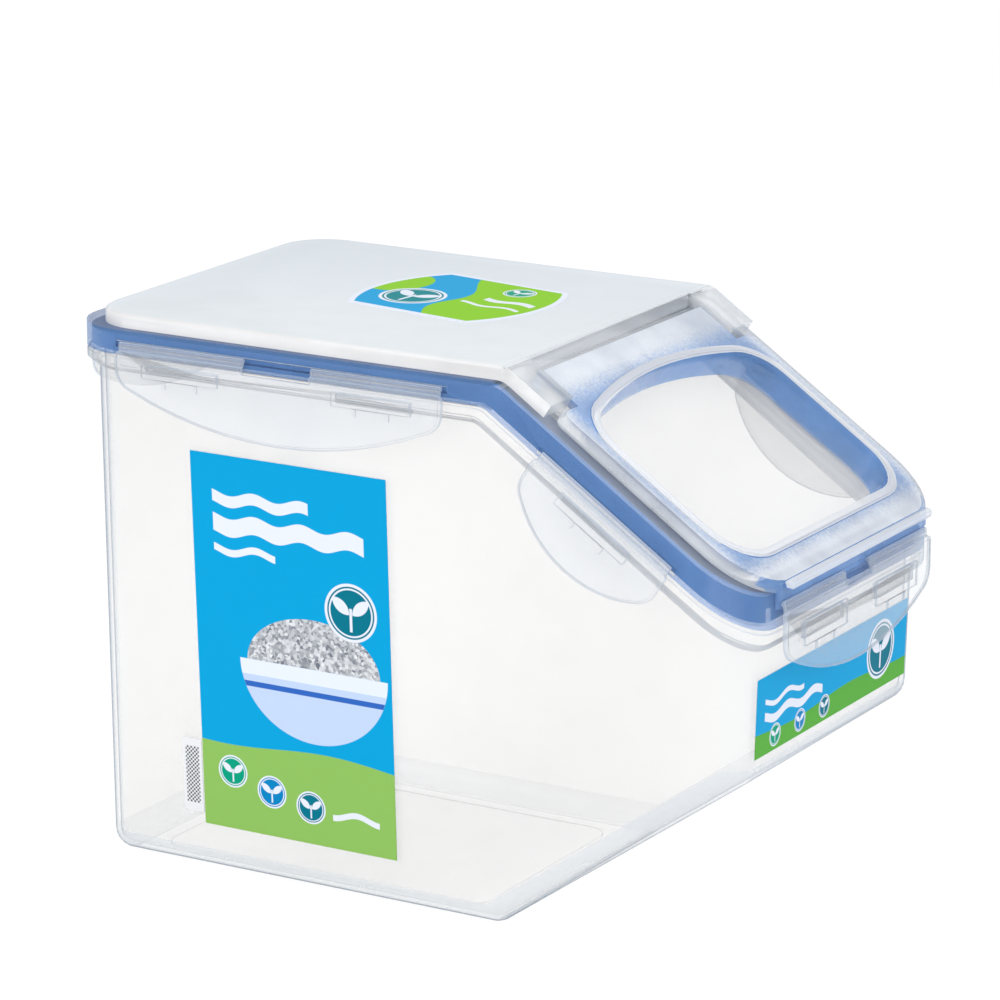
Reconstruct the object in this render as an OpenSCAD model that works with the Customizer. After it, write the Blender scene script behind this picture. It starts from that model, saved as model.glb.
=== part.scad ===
// Rice bin with a lift-off lid, a flip lid over the pouring mouth and six hinged side locks.
// Millimetres. X runs from the rear to the pouring end, Y across, Z up from the table.

/* [Container] */
// Length of the base, from its rear edge to where the front turns up
base_l = 160; // [150:1:170]
// Width of the base
base_w = 121; // [116:1:126]
// Lean of the side walls, in degrees
side_draft = 2.5; // [2:0.1:3]
// Lean of the rear wall, in degrees
rear_draft = 0.1; // [0.1:0.1:0.5]
// Lean of the front wall, in degrees
front_draft = 1.8; // [1.4:0.1:2.2]
// How far the nose stands out in front of the base
nose_reach = 96.4; // [94:0.2:98]
// Height of the nose's lower edge
nose_h = 68; // [62:1:74]
// Thickness of the walls
wall = 1.8; // [1.6:0.1:2]
// Rounding of the lower edges
foot_r = 8; // [6:0.5:10]
// Radius of the upright corners at the rim
corner_r = 15; // [13:0.5:16]
// Depth of the recess under the base
recess = 0.6; // [0.4:0.1:0.8]
// Width of the ring that the bin stands on
land_w = 6; // [5:0.5:8]

/* [Rim] */
// Height of the rim's ledge above the table, on its level part
ledge_h = 195.3; // [190:0.5:200]
// Distance from the base's rear edge to where the ledge turns down
slope_start = 170; // [168:0.5:172]
// Fall of the sloping part, in degrees
slope_deg = 34; // [33:0.25:35]
// How much deeper the rim is on the slope than on the level part
slope_stretch = 1.22; // [1.18:0.01:1.24]
// Radius of the bend between the two parts
bend_r = 8; // [5:0.5:10]
// How far the flange stands out from the side walls
side_flange = 6; // [5.5:0.1:6.5]
// How far it stands out from the end walls
end_flange = 3.9; // [3.8:0.1:4.4]
// Corner radius of the rim seen from above
rim_r = 21; // [19:0.5:22]

/* [Main lid] */
// Thickness of the lid's skirt
skirt_t = 1.7; // [1.5:0.1:1.8]
// Thickness of its ledge and of its inner wall
lid_t = 1.6; // [1.4:0.1:1.8]
// Depth of the skirt below the ledge
skirt_d = 8.6; // [8.4:0.1:8.8]
// Depth of the inner wall that plugs the container
plug_d = 12.4; // [11.5:0.1:13]
// Rise of the flat top above the ledge
top_rise = 5; // [4.8:0.1:5.4]
// Width of the ledge beside the raised top
ledge_w = 3.3; // [3:0.1:3.6]
// Width of the ledge behind the raised top
rear_ledge_w = 7.2; // [6.6:0.1:7.8]
// How far the hinge shoulders run down the slope
shoulder_l = 18.5; // [18:0.1:18.8]
// Half the clear width between the shoulders
shoulder_in = 56.5; // [56:0.1:57]

/* [Flip lid] */
// Hinge axis, down the slope from the bend
hinge_u = 6; // [5.8:0.1:6.2]
// Radius of the hinge pins
pin_r = 2; // [1.8:0.1:2.2]
// Length of each pin outside the tongue
pin_l = 5; // [4:0.5:6]
// Width of the flip lid
flip_w = 140; // [136:1:142]
// Rear edge of its wide part, down the slope
flip_rear = 21.5; // [21:0.1:22]
// Corner radius at the front
flip_r = 20; // [17:0.5:21]
// Thickness of the flip lid
flip_t = 1.5; // [1.4:0.05:1.6]
// Height of its top face above the ledge
flip_top = 3.4; // [3.2:0.1:3.8]
// Height of its lower edge above the ledge
flip_low = 0.6; // [0.5:0.1:0.8]
// Width of the slanted edge along its sides
chamfer_w = 3.5; // [3:0.1:4]
// Length of the front skirt that carries the front lock
front_skirt_l = 110; // [109:1:112]
// Radius of the lifting bar
bar_r = 1.75; // [1.5:0.05:2]
// Length of the lifting bar
bar_l = 105; // [98:1:106]

/* [Window] */
// Rear edge of the window, down the slope
window_rear = 20.2; // [20:0.1:21]
// Distance from the window to the front of the flip lid
window_margin = 16; // [16:0.2:19]
// Width of the window
window_w = 118; // [112:1:118]
// Corner radius of the window
window_r = 16; // [13:0.5:18]
// Radius of the arch of its rear edge
window_bow = 180; // [160:5:200]
// Depth of the pane's upper face below the ledge
pane_d = 6.5; // [6:0.1:6.8]
// Width of the raised bead round the window
bead_w = 3.6; // [3.2:0.1:4]
// Height of that bead over the top face
bead_h = 0.9; // [0.7:0.1:1.2]

/* [Seals] */
// Thickness of the main seal over the container's lip
seal_t = 2.85; // [2.7:0.05:3]
// Depth of the main seal's outer leg below the ledge
seal_d = 7.9; // [7.6:0.1:8]
// Width of the flip lid's seal
flip_seal_w = 3.5; // [3.3:0.1:3.6]

/* [Locks] */
// Thickness of a lock's plate
lock_t = 1.5; // [1.4:0.1:1.6]
// Radius of the round hinge edge of a lock
lock_bead = 1; // [0.9:0.05:1.1]
// Depth of the long side locks below their hinge
lock_d = 27.8; // [26:0.2:29]
// Length of the side lock by the level ledge
side_lock_l = 130.5; // [126:0.5:131]
// Middle of that lock, from the base's rear edge
side_lock_x = 84.3; // [84:0.1:85]
// Length of the side lock by the slope
slope_lock_l = 60; // [58:0.5:61]
// Middle of that lock, down the slope
slope_lock_u = 55; // [54:0.5:57]
// Depth of that lock below its hinge
slope_lock_d = 26.5; // [25:0.5:28]
// Length of the front and rear locks
end_lock_l = 108; // [102:1:109]
// Depth of those locks below their hinge
end_lock_d = 31.2; // [30:0.2:32]
// Length of a latching bar
socket_l = 31; // [30:0.5:32]
// Hinge drop below the level ledge
hinge_drop = 4.8; // [4.7:0.1:4.9]
// Hinge drop below the sloping ledge
slope_hinge_drop = 8.4; // [8.2:0.1:8.5]

/* [Labels] */
// Thickness of the labels
label_t = 0.2; // [0.15:0.05:0.3]
// Length of the side label
side_label_l = 79; // [74:1:84]
// Height of the side label
side_label_h = 137; // [125:1:138]
// Rear edge of the side label, from the base's rear edge
side_label_x = 43; // [40:1:46]
// Lower edge of the side label above the table
side_label_z = 17.5; // [16:0.5:20]
// Length of the front label
front_label_l = 112; // [104:1:113]
// Lower edge of the front label above the nose's edge
front_label_z = 6.8; // [6.5:0.1:10]
// Distance from the front label to the flange over it
front_label_gap = 8; // [7.5:0.5:10]
// Middle of the top label, from the base's rear edge
top_label_x = 105.4; // [96:0.2:110]
// How far it sits beyond the middle of the lid
top_label_y = 8.3; // [0:0.1:10]
// How far it is turned, in degrees
top_label_turn = -8; // [-12:1:12]
// Length of the top label
top_label_l = 71; // [66:1:76]
// Width of the top label
top_label_w = 58; // [54:1:62]
// Bulge of its rounded ends
top_label_bulge = 9.5; // [7:0.5:12]

/* [Clearances] */
// Gap between the lid's inner wall and the container
plug_gap = 0.5; // [0.4:0.05:0.6]
// Gap under a part that rests on another
seat_gap = 0.25; // [0.2:0.05:0.3]
// Radial gap of the flip lid's hinge pins
pin_gap = 0.05; // [0.03:0.01:0.08]
// Gap between a seal and the walls of its groove
seal_gap = 0.1; // [0.05:0.01:0.15]
// Gap between a released catch and the flange's edge
catch_gap = 0.25; // [0.2:0.01:0.3]
// Radial gap round a lock's hinge edge
bead_gap = 0.3; // [0.25:0.01:0.35]

/* [Hidden] */

// Reach of cutting solids, well past the object, and the overlap that joins solids of one piece
far = 400;
weld = 0.3;
// Facets of a full turn: small round parts, large ones, and the container's roundings
fine = 32;
large = 48;
soft = 24;

// Walls of the container: half width, rear and front at a height
function wall_half(z) = base_w / 2 + z * tan(side_draft);
function rear_x(z) = -z * tan(rear_draft);
function front_x(z) = base_l + nose_reach + (z - nose_h) * tan(front_draft);

// The rim in plan
flange_mid = 12;
front_run = base_l + nose_reach - slope_start;
rim_half = wall_half(ledge_h - flange_mid) + side_flange;
rim_rear = rear_x(ledge_h) - end_flange;
rim_front = front_x(ledge_h - front_run * tan(slope_deg)) + end_flange;

// Depths below the ledge: seal, lip of the container, steps of its flange
roof_d = 1.8;
seal_top = roof_d + seal_gap / 2;
seal_under = seal_top + seal_t;
lip_d = seal_under + seat_gap;
// Upper depth, lower depth and step back from the rim's face of each step
flange_top = skirt_d + 0.4;
bite_d = 12.6;
flange_steps = [
  [flange_top, flange_top + 0.8, 0.6], [flange_top + 0.8, bite_d, 0],
  [bite_d, bite_d + 1.4, 1.4], [bite_d + 1.4, bite_d + 2.8, 3.2]
];

// The front label ends below the flange
front_label_h = slope_z(rim_front, flange_steps[3][1]) - front_label_gap - nose_h - front_label_z;

// The lid's inner wall follows the container's inner face at its lowest point by the front
plug_low_z = ledge_h - front_run * tan(slope_deg) - plug_d * slope_stretch / cos(slope_deg);
plug_half = wall_half(plug_low_z) - wall - plug_gap - 0.5;
plug_rear = rear_x(plug_low_z) + wall + plug_gap;
plug_front = front_x(plug_low_z) - wall - plug_gap;
plug_r = corner_r - wall;

// Hinge well and mouth of the main lid, square to the slope
well_r = 5.2;
well_t = 1.4;
mouth_grow = 2.2;
shelf_t = 1.6;
cheek_low = -7;
end_wall_t = 1.6;
cheek_t = 2.3;

// Flip lid, square to the slope
skirt_gap = 0.35;
flip_half = flip_w / 2;
flip_front = rim_front + skirt_gap + flip_t;
window_front = (flip_front - slope_start) / cos(slope_deg) - window_margin;
side_wall_h = 2;
window_half = window_w / 2;
wall_grow = 1.3;
ring_in = wall_grow + seal_gap + flip_seal_w + 2 * seal_gap;
ring_out = ring_in + 1.2;
ring_low = 0.7;
tongue_half = shoulder_in - 0.5;
tongue_low = flip_top - flip_t;
tongue_rear = hinge_u - 2.1;
hub_r = 3.4;
bar_end_r = 1;
bar_x = flip_front + 2;
bar_z = ledge_h - (rim_front - slope_start) * tan(slope_deg) + 2.1;
lip_t = 2;
front_axis_z = bar_z - 6.5;

// Locks: offsets from the hinge axis, outwards and downwards
axis_out = 0.5;
plate_in = 0.4;
plate_out = plate_in + lock_t;
plate_top = 1.8;
ridge_h = 0.35;
lock_top_r = 2;
notch_d = 4.4;
socket_above = 2.95;
front_socket_above = 6.6;
socket_below = 2.05;
socket_step = 0.5;
socket_out = plate_out + 1.1;
bite_below = bite_d - hinge_drop + 0.35;
slope_bite_below = bite_d * slope_stretch - slope_hinge_drop + 0.35;
front_bite_below = front_axis_z - ledge_h + (rim_front - slope_start) * tan(slope_deg)
  + bite_d * slope_stretch / cos(slope_deg) + 0.4;

// The middle of the whole length stands over the origin
rear_reach = rim_rear - axis_out - socket_out;
front_reach = flip_front + axis_out + socket_out;
mid_x = (rear_reach + front_reach) / 2;

// ---- shared forms ----

module place() { translate([-mid_x, 0, 0]) children(); }

// X down the slope, Z square to it, from the line where the ledge turns down
module on_slope() { translate([slope_start, 0, ledge_h]) rotate([0, slope_deg, 0]) children(); }

// Points of an arc, less any that are skipped at each end
function arc(cx, cy, r, a0, a1, n, skip = 0) = [
  for (i = [skip:n - skip]) let (a = a0 + (a1 - a0) * i / n) [cx + r * cos(a), cy + r * sin(a)]
];
function reversed(list) = [for (i = [len(list) - 1:-1:0]) list[i]];

// Depth square to the slope of the line that lies d below the level ledge, and where it turns down
function drop(d) = d > 0 ? d * slope_stretch : d;
function knee(d) = slope_start + (d * cos(slope_deg) - drop(d)) / sin(slope_deg);
function slope_z(x, d) = ledge_h - (x - slope_start) * tan(slope_deg) - drop(d) / cos(slope_deg);
function rim_line(d) = concat(
  [[-far, ledge_h - d]],
  arc(knee(d) - bend_r * tan(slope_deg / 2), ledge_h - d - bend_r, bend_r, 90, 90 - slope_deg, 4),
  [[far, slope_z(far, d)]]
);

module side_cut(points) {
  rotate([90, 0, 0]) linear_extrude(height = far, center = true) polygon(points);
}

// Layer between two depths, and all that lies under a depth
module band(d0, d1) { side_cut(concat(rim_line(d0), reversed(rim_line(d1)))); }
module below(d) { side_cut(concat(rim_line(d), [[far, -far], [-far, -far]])); }

// Upright block with round corners
module slab(rear, front, half, r, low = 0, high = far) {
  translate([0, 0, low])
    linear_extrude(height = high - low)
      polygon(concat(
        arc(front - r, half - r, r, 0, 90, 9), arc(rear + r, half - r, r, 90, 180, 9),
        arc(rear + r, r - half, r, 180, 270, 9), arc(front - r, r - half, r, 270, 360, 9)
      ));
}
module rim(grow = 0) { slab(rim_rear - grow, rim_front + grow, rim_half + grow, rim_r + grow); }
module crown(grow = 0) {
  slab(rim_rear + rear_ledge_w - grow, rim_front + grow, rim_half - ledge_w + grow, rim_r - ledge_w + grow);
}
module plug(grow = 0) { slab(plug_rear - grow, plug_front + grow, plug_half + grow, plug_r + grow); }

// Outline with a straight edge at u1, its corners of radius r1, and an arched edge at u0
function loop(u0, u1, half, r, bow, r1) =
  let (
    cx = u0 + bow - sqrt(pow(bow - r, 2) - pow(half - r, 2)),
    a = atan2(half - r, cx - (u0 + bow))
  )
  concat(
    arc(u1 - r1, r1 - half, r1, -90, 0, 8), arc(u1 - r1, half - r1, r1, 0, 90, 8),
    arc(cx, half - r, r, 90, a, 6), arc(u0 + bow, 0, bow, a, 360 - a, 12, 1),
    arc(cx, r - half, r, 360 - a, 270, 6)
  );

// ---- container ----

// The container's form, drawn in by inset
module ball(r) {
  rotate_extrude($fn = soft) polygon(concat([[0, -r]], arc(0, 0, r, -75, 75, 10), [[0, r]]));
}

module tub_form(inset) {
  chamfer = atan(nose_h / nose_reach);
  rise = foot_r * (1 - sin(chamfer) / cos(front_draft)) / (cos(chamfer) - tan(front_draft) * sin(chamfer));
  rear_c = foot_r / cos(rear_draft) - foot_r * tan(rear_draft);
  nose_c = base_l + nose_reach - foot_r / cos(front_draft) + rise * tan(front_draft);
  centres = [
    [rear_c, foot_r], [base_l - foot_r * tan(chamfer / 2), foot_r], [nose_c, nose_h + rise]
  ];
  hull() {
    for (c = centres, side = [-1, 1])
      translate([c[0], side * (wall_half(c[1]) - foot_r / cos(side_draft)), c[1]]) ball(foot_r - inset);
    for (x = [rear_x(ledge_h) + corner_r, front_x(ledge_h) - corner_r], side = [-1, 1])
      translate([x, side * (wall_half(ledge_h) - corner_r), ledge_h])
        cylinder(r = corner_r - inset, h = weld, $fn = soft);
  }
}

module container_body() {
  color([0.94, 0.95, 0.96, 0.6])
  place()
  difference() {
    union() {
      intersection() {
        tub_form(0);
        below(lip_d);
      }
      for (s = flange_steps)
        intersection() {
          rim(-s[2]);
          band(s[0], s[1]);
        }
    }
    tub_form(wall);
    slab(land_w + foot_r, base_l - foot_r - land_w, base_w / 2 - foot_r - land_w, foot_r, -1, recess);
  }
}

// ---- main lid ----

// Upright wall between two set-backs of the rim, in a layer
module skirt_wall() {
  intersection() {
    difference() {
      rim();
      rim(-skirt_t);
    }
    band(0, skirt_d);
  }
}

module ledge_roof() {
  intersection() {
    difference() {
      rim();
      plug(-lid_t);
    }
    band(0, roof_d);
  }
}

module plug_ring() {
  intersection() {
    difference() {
      plug();
      plug(-lid_t);
    }
    band(0, plug_d);
  }
}

// Raised top with its end wall by the hinge
module raised_top() {
  intersection() {
    difference() {
      intersection() {
        crown();
        band(-top_rise, roof_d / 2);
      }
      intersection() {
        crown(-lid_t);
        below(lid_t - top_rise);
        slab(-far, slope_start - lid_t, far / 2, 1);
      }
      difference() {
        intersection() {
          crown(-lid_t);
          below(lid_t - top_rise);
        }
        slab(-far, slope_start, far / 2, 1);
      }
    }
    union() {
      slab(-far, slope_start, far / 2, 1);
      for (side = [-1, 1])
        translate([0, side * (shoulder_in + far / 2), 0])
          on_slope() translate([-20, -far / 2, -20]) cube([20 + shoulder_l, far, 40]);
    }
  }
}

// Cheeks and end walls of the two hinge shoulders
module shoulder_walls() {
  for (side = [-1, 1])
    intersection() {
      union() {
        on_slope()
          translate([-8, side > 0 ? shoulder_in : -shoulder_in - cheek_t, cheek_low])
            cube([8 + shoulder_l, cheek_t, far]);
        on_slope()
          translate([shoulder_l - end_wall_t, side > 0 ? shoulder_in : -far / 2, -shelf_t])
            cube([end_wall_t, far / 2 - shoulder_in, far]);
      }
      union() {
        plug(-lid_t / 2);
        intersection() {
          crown();
          band(-top_rise - 1, roof_d / 2);
        }
      }
      slab(slope_start - lid_t, far, rim_half, 1);
      band(-top_rise, far / 4);
    }
}

module hinge_well() {
  width = 2 * (shoulder_in + cheek_t / 2);
  on_slope()
    translate([hinge_u, width / 2, 0])
      rotate([90, 0, 0])
        intersection() {
          difference() {
            cylinder(r = well_r + well_t, h = width, $fn = large);
            translate([0, 0, -1]) cylinder(r = well_r, h = width + 2, $fn = large);
          }
          translate([-far / 2, -far, -1]) cube([far, far, width + 2]);
        }
}

module mouth_shelf() {
  difference() {
    intersection() {
      plug(-lid_t / 2);
      on_slope()
        translate([hinge_u + well_r + well_t / 2, -far / 2, -shelf_t]) cube([far, far, shelf_t]);
    }
    on_slope()
      translate([0, 0, -shelf_t - 1])
        linear_extrude(height = shelf_t + 2) polygon(window_loop(mouth_grow));
  }
}

module lid_frame() {
  color([0.89, 0.91, 0.91, 0.8])
  place()
  difference() {
    union() {
      skirt_wall();
      ledge_roof();
      plug_ring();
      raised_top();
      shoulder_walls();
      hinge_well();
      mouth_shelf();
    }
    for (side = [-1, 1])
      on_slope()
        translate([hinge_u, side * (shoulder_in + (cheek_t + pin_l) / 2), 0])
          rotate([90, 0, 0])
            cylinder(r = pin_r + pin_gap, h = pin_l + cheek_t + 4, center = true, $fn = large);
    lock_grooves();
  }
}

// Round grooves in the skirt that the locks' hinge edges sit in
module groove(length) {
  rotate([0, 90, 0]) cylinder(r = lock_bead + bead_gap, h = length, center = true, $fn = fine);
}

module lock_grooves() {
  for (side = [-1, 1]) {
    translate([side_lock_x, side * (rim_half + axis_out), ledge_h - hinge_drop])
      groove(side_lock_l + 2);
    on_slope()
      translate([slope_lock_u, side * (rim_half + axis_out), -slope_hinge_drop])
        groove(slope_lock_l + 2);
  }
  translate([rim_rear - axis_out, 0, ledge_h - hinge_drop]) rotate([0, 0, 90]) groove(end_lock_l + 2);
}

module lid_gasket() {
  color([0.2, 0.4, 0.8])
  place() {
    intersection() {
      difference() {
        rim(-skirt_t - seal_gap);
        plug(seal_gap);
      }
      band(seal_top, seal_under);
    }
    intersection() {
      difference() {
        rim(-skirt_t - seal_gap);
        slab(
          rear_x(ledge_h) - seat_gap, front_x(ledge_h) + seat_gap,
          wall_half(ledge_h) + seat_gap, corner_r + seat_gap
        );
      }
      band(seal_under - weld, seal_d);
    }
  }
}

// ---- flip lid ----

function window_loop(grow) = loop(
  window_rear - grow, window_front + grow, window_half + grow,
  window_r + grow, window_bow + grow, window_r + grow
);

module window_ring(outer, inner, low, high) {
  translate([0, 0, low])
    linear_extrude(height = high - low)
      difference() {
        polygon(window_loop(outer));
        polygon(window_loop(inner));
      }
}

// Layer of the flip lid's outline, square to the slope
module flip_slice(inset, side_inset, low, high) {
  intersection() {
    slab(-far, flip_front - inset, flip_half - inset - side_inset, flip_r - inset);
    on_slope()
      translate([0, 0, low])
        linear_extrude(height = high - low)
          polygon(concat(
            arc(flip_rear + inset + 4, flip_half - inset - side_inset - 4, 4, 90, 180, 5),
            arc(flip_rear + inset + 4, side_inset + inset + 4 - flip_half, 4, 180, 270, 5),
            [[far / 2, side_inset + inset - flip_half], [far / 2, flip_half - inset - side_inset]]
          ));
  }
}

module flip_shell() {
  edge = flip_top - side_wall_h;
  difference() {
    union() {
      hull() {
        flip_slice(0, 0, flip_low, edge);
        flip_slice(0, chamfer_w, flip_top - 0.1, flip_top);
      }
      front_skirt();
    }
    hull() {
      flip_slice(flip_t, 0, flip_low - 3, edge - 0.5);
      flip_slice(flip_t, chamfer_w - 0.4, flip_top - flip_t - 0.1, flip_top - flip_t);
    }
    on_slope()
      translate([0, -tongue_half, flip_low - 3])
        cube([flip_rear + 2 * flip_t, 2 * tongue_half, flip_top - flip_t - flip_low + 3]);
    on_slope() translate([0, 0, -8]) linear_extrude(height = far) polygon(window_loop(0.5));
  }
}

// Skirt over the front of the rim, and the bar that the lid is lifted by
module front_skirt() {
  translate([flip_front - flip_t, -front_skirt_l / 2, front_axis_z - lock_bead - 0.4])
    cube([flip_t, front_skirt_l, bar_z + 2 - front_axis_z]);
  translate([flip_front - flip_t, 1 - bar_l / 2, bar_z - lip_t / 2])
    cube([bar_x + flip_t - flip_front, bar_l - 2, lip_t]);
  translate([bar_x, 0, bar_z])
    rotate([90, 0, 0])
      rotate_extrude($fn = fine)
        polygon(concat(
          [[0, -bar_l / 2]], arc(bar_r - bar_end_r, bar_end_r - bar_l / 2, bar_end_r, -90, 0, 3),
          arc(bar_r - bar_end_r, bar_l / 2 - bar_end_r, bar_end_r, 0, 90, 3), [[0, bar_l / 2]]
        ));
}

module window_well() {
  on_slope() {
    window_ring(wall_grow, 0, -pane_d - flip_t, flip_top);
    translate([0, 0, -pane_d - flip_t]) linear_extrude(height = flip_t) polygon(window_loop(wall_grow / 2));
    window_ring(bead_w, 0, flip_top - weld, flip_top + bead_h * 0.6);
    window_ring(bead_w - 0.8, 0.8, flip_top, flip_top + bead_h);
    window_ring(ring_out, ring_in, ring_low, flip_top - flip_t / 2);
  }
}

// Tongue between the shoulders, with ribs, hub and pins
module tongue() {
  on_slope() {
    difference() {
      translate([tongue_rear, -tongue_half, tongue_low])
        cube([flip_rear + 2 * flip_t - tongue_rear, 2 * tongue_half, flip_t]);
      translate([0, 0, tongue_low - 1]) linear_extrude(height = flip_t + 2) polygon(window_loop(0.5));
    }
    for (side = [-1, 1]) {
      translate([hinge_u, side > 0 ? tongue_half - 3 : -tongue_half, 0.6])
        cube([flip_rear - hinge_u + 1, 3, tongue_low]);
      translate([hinge_u, side * (tongue_half - 2), 0])
        rotate([90, 0, 0]) cylinder(r = hub_r, h = 4, center = true, $fn = large);
      translate([hinge_u, side * (tongue_half + pin_l / 2 - 0.5), 0])
        rotate([90, 0, 0]) cylinder(r = pin_r, h = pin_l + 1, center = true, $fn = large);
    }
  }
}

module flip_lid() {
  color([0.86, 0.89, 0.93, 0.8])
  place()
  difference() {
    union() {
      flip_shell();
      window_well();
      tongue();
    }
    translate([flip_front + axis_out, 0, front_axis_z]) rotate([0, 0, 90]) groove(end_lock_l + 2);
  }
}

module flip_gasket() {
  color([0.2, 0.4, 0.8])
  place()
  on_slope()
    window_ring(
      wall_grow + seal_gap + flip_seal_w, wall_grow + seal_gap,
      seat_gap, flip_top - flip_t - seal_gap / 2
    );
}

// ---- locks ----

// Latching bar of a lock: raised outside, with its hollow, its catch and two small ribs
module socket_block(bite, above) {
  translate([-socket_l / 2, plate_in + socket_step, -bite - socket_below])
    cube([socket_l, socket_out - plate_in - socket_step, above + socket_below]);
  for (x = [-6.5, 6.5])
    translate([x - 0.5, plate_out - weld, -bite - socket_below - 3]) cube([1, 0.7 + weld, 3 + weld]);
}

module socket_hollow(bite, above) {
  translate([1.2 - socket_l / 2, plate_in - 1, 0.1 - bite])
    cube([socket_l - 2.4, socket_out - plate_in, above - 1.1]);
}

module catch(bite) {
  rotate([90, 0, 90])
    linear_extrude(height = socket_l - 1, center = true)
      polygon([
        [plate_in + weld, -bite], [catch_gap - axis_out, -bite],
        [catch_gap - axis_out, -bite - 0.5], [plate_in + weld, -bite - 1.8]
      ]);
}

// Round hinge edge with the neck that joins it to the plate
module hinge_edge(length) {
  rotate([90, 0, 90])
    linear_extrude(height = length, center = true)
      polygon(concat(
        [[plate_in + 0.7, -plate_top - 0.4], [plate_in + 0.7, -0.7]],
        arc(0, 0, lock_bead, -30, 250, 14),
        [[-0.1, -plate_top - 0.4]]
      ));
}

// Lock about its hinge axis: X along the hinge, Y outwards, Z up
module lock(length, depth, corner, bow, sockets, bite, notch, above = socket_above) {
  difference() {
    union() {
      hinge_edge(length - 2);
      rotate([0, -90, -90])
        translate([0, 0, plate_in])
          difference() {
            linear_extrude(height = lock_t + ridge_h)
              polygon(loop(-depth, -plate_top, length / 2, corner, bow, lock_top_r));
            translate([0, 0, lock_t])
              linear_extrude(height = 2 * ridge_h)
                polygon(loop(1 - depth, -plate_top - 1, length / 2 - 1, corner - 1, bow - 1, lock_top_r - 1));
          }
      for (x = sockets) translate([x, 0, 0]) socket_block(bite, above);
      for (x = sockets) translate([x, 0, 0]) catch(bite);
    }
    for (x = sockets) translate([x, 0, 0]) socket_hollow(bite, above);
    if (notch > 0) translate([-notch, -3, -notch_d]) cube([2 * notch, 6, notch_d + 3]);
  }
}

module side_lock() {
  lock(side_lock_l, lock_d, 8, 152, [-38.3, 38.3], bite_below, 13.5);
}

module slope_lock() {
  lock(slope_lock_l, slope_lock_d, 8, 42, [0], slope_bite_below, 0);
}

module end_lock(bite, above) {
  lock(end_lock_l, end_lock_d, 8, 114, [-26.5, 26.5], bite, 9, above);
}

// A side lock stands on the near side; the far one is its mirror image
module near_side() { translate([side_lock_x, -rim_half - axis_out, ledge_h - hinge_drop]) rotate([0, 0, 180]) side_lock(); }
module near_slope() {
  on_slope() translate([slope_lock_u, -rim_half - axis_out, -slope_hinge_drop]) rotate([0, 0, 180]) slope_lock();
}

module near_rear_latch() { color([0.8, 0.84, 0.88, 0.8]) place() near_side(); }
module far_rear_latch() { color([0.8, 0.84, 0.88, 0.8]) place() mirror([0, 1, 0]) near_side(); }
module near_front_latch() { color([0.8, 0.84, 0.88, 0.8]) place() near_slope(); }
module far_front_latch() { color([0.8, 0.84, 0.88, 0.8]) place() mirror([0, 1, 0]) near_slope(); }

module rear_latch() {
  color([0.8, 0.84, 0.88, 0.8])
  place()
  translate([rim_rear - axis_out, 0, ledge_h - hinge_drop]) rotate([0, 0, 90]) end_lock(bite_below, socket_above);
}

module front_latch() {
  color([0.8, 0.84, 0.88, 0.8])
  place()
  translate([flip_front + axis_out, 0, front_axis_z]) rotate([0, 0, -90]) end_lock(front_bite_below, front_socket_above);
}

// ---- labels ----

module side_label() {
  color([0.1, 0.65, 0.9])
  place()
  translate([0, -base_w / 2, 0])
    rotate([side_draft, 0, 0])
      translate([side_label_x, -label_t, side_label_z]) cube([side_label_l, label_t, side_label_h]);
}

// Small code label behind the side label
module code_label() {
  color([0.95, 0.95, 0.95])
  place()
  translate([0, -base_w / 2, 0])
    rotate([side_draft, 0, 0])
      translate([side_label_x - 8.5, -label_t, side_label_z + 4]) cube([8, label_t, 27]);
}

module front_label() {
  color([0.1, 0.65, 0.9])
  place()
  translate([base_l + nose_reach, 0, nose_h])
    rotate([0, front_draft, 0])
      translate([0, -front_label_l / 2, front_label_z]) cube([label_t, front_label_l, front_label_h]);
}

// Label on the raised top, straight along its sides and rounded at its ends
module top_label() {
  end_r = (pow(top_label_w / 2, 2) + pow(top_label_bulge, 2)) / (2 * top_label_bulge);
  end_a = asin(top_label_w / 2 / end_r);
  color([0.4, 0.75, 0.2])
  place()
  translate([top_label_x, top_label_y, ledge_h + top_rise])
    rotate([0, 0, top_label_turn])
      linear_extrude(height = label_t)
        polygon(concat(
          arc(end_r - top_label_l / 2, 0, end_r, 180 - end_a, 180 + end_a, 10),
          arc(top_label_l / 2 - end_r, 0, end_r, -end_a, end_a, 10)
        ));
}

container_body();
lid_frame();
lid_gasket();
flip_lid();
flip_gasket();
near_rear_latch();
far_rear_latch();
near_front_latch();
far_front_latch();
rear_latch();
front_latch();
side_label();
code_label();
front_label();
top_label();
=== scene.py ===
"""A rice bin of clear plastic: a container with a sloping front, a lid that lifts off, a flip lid with a
window over the mouth, two blue seals, six hinged locks and four labels. Metres, in the CAD frame."""

import math

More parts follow.
